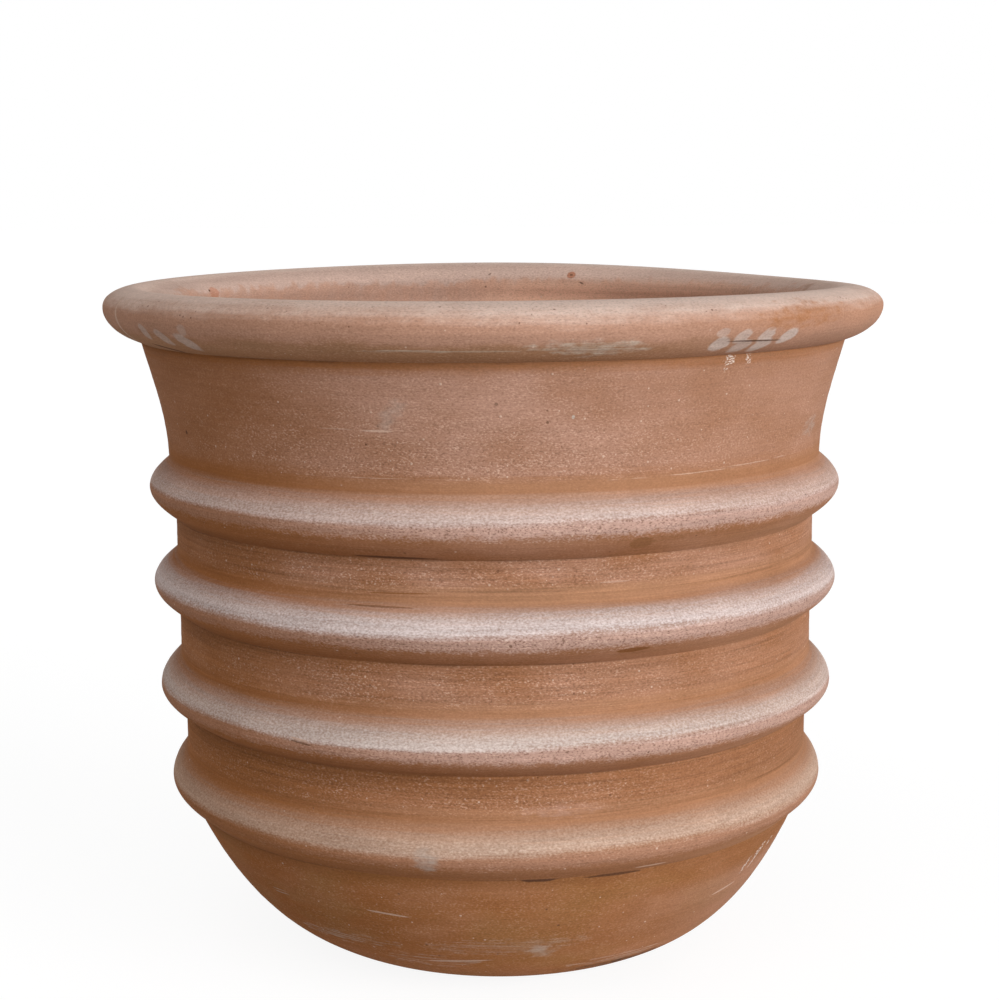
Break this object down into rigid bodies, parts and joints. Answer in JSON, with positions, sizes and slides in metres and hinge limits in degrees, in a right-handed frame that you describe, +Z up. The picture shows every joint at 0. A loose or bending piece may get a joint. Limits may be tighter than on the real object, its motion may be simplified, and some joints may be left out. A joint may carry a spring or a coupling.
{
  "type": "flower pot",
  "caption": "Large round terracotta flower pot with a rounded base, raised cordons round its side, a flared neck, a fat rolled rim and a drain hole.",
  "frame": {"origin": "centre of the flat foot, on the ground", "axes": "+Z up along the pot's axis; +X to the right and -Y towards the viewer of the picture"},
  "size_m": [0.56, 0.56, 0.488],
  "materials": {
    "terracotta_body": "unglazed terracotta, thrown, with faint turning lines and a sandy grain",
    "terracotta_cordon": "unglazed terracotta with a pale mineral bloom on its upper side",
    "terracotta_rim": "unglazed terracotta, wiped smooth and paler on top"
  },
  "bodies": {
    "root": {"base_disc": "terracotta_body", "bowl": "terracotta_body", "lower_wall_ring": "terracotta_body", "middle_wall_ring": "terracotta_body", "upper_wall_ring": "terracotta_body", "neck_ring": "terracotta_body", "cordon_1": "terracotta_cordon", "cordon_2": "terracotta_cordon", "cordon_3": "terracotta_cordon", "cordon_4": "terracotta_cordon", "rim_roll": "terracotta_rim"}
  },
  "joints": []
}
